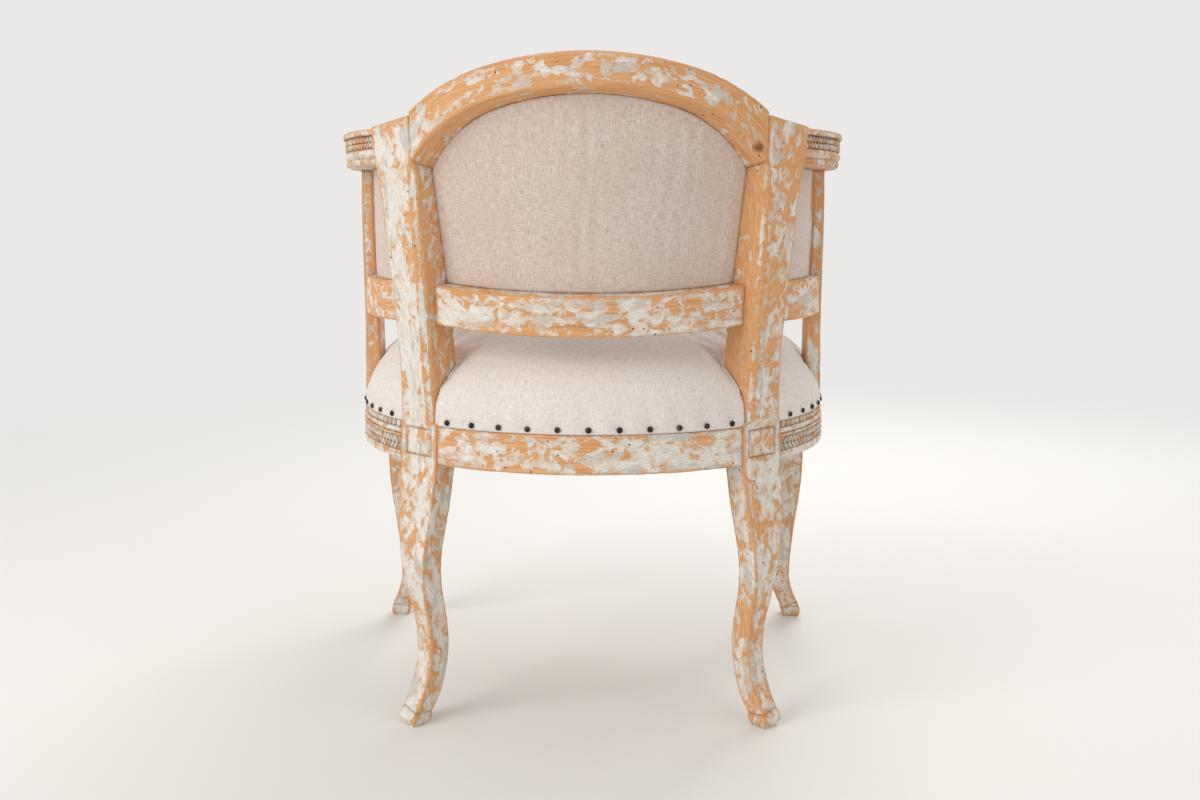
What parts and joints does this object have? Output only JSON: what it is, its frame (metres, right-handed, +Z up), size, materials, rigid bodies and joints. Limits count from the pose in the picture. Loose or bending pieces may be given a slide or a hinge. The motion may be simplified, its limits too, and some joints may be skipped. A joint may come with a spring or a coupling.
{
  "type": "barrel-back armchair",
  "caption": "Low barrel-back armchair: carved, painted pine frame with a raked arched back, curved arms, sabre legs and a domed linen seat.",
  "frame": {"origin": "centre of the overall box on the floor under the feet", "axes": "+Z up, the sitter faces -Y, the sitter's left hand is towards +X"},
  "size_m": [0.664, 0.6058, 0.7865],
  "materials": {
    "painted_pine": "old pale distemper paint, chipped and flaking off orange-brown pine",
    "bare_pine": "unpainted sawn pine, darkened with age",
    "webbing": "woven jute band, matt",
    "hessian": "coarse open jute cloth, matt",
    "stuffing": "horsehair and tow, matt",
    "seat_linen": "washed natural linen, matt, slubbed",
    "back_linen": "older pinkish natural linen, matt, with darns",
    "inside_linen": "natural linen over stuffing, matt",
    "nails": "domed iron nail heads, dark and slightly rusty"
  },
  "bodies": {
    "root": {"rear_stile_left": "painted_pine", "rear_stile_right": "painted_pine", "crest_rail": "painted_pine", "back_lower_rail": "painted_pine", "side_lower_rail_left": "painted_pine", "side_lower_rail_right": "painted_pine", "arm_left": "painted_pine", "arm_right": "painted_pine", "arm_post_left": "painted_pine", "arm_post_right": "painted_pine", "seat_rail_back": "painted_pine", "seat_rail_left": "painted_pine", "seat_rail_right": "painted_pine", "seat_rail_front": "painted_pine", "front_leg_left": "painted_pine", "front_leg_right": "painted_pine", "corner_block_rear_left": "bare_pine", "corner_block_rear_right": "bare_pine", "corner_block_front_left": "bare_pine", "corner_block_front_right": "bare_pine", "webbing_across_1": "webbing", "webbing_across_2": "webbing", "webbing_across_3": "webbing", "webbing_across_4": "webbing", "webbing_across_5": "webbing", "webbing_along_1": "webbing", "webbing_along_2": "webbing", "webbing_along_3": "webbing", "webbing_along_4": "webbing", "seat_hessian": "hessian", "seat_stuffing": "stuffing", "seat_cover": "seat_linen", "seat_nails": "nails", "back_outer_cover": "back_linen", "back_pad": "inside_linen", "side_outer_cover_left": "back_linen", "side_outer_cover_right": "back_linen", "side_pad_left": "inside_linen", "side_pad_right": "inside_linen"}
  },
  "joints": []
}
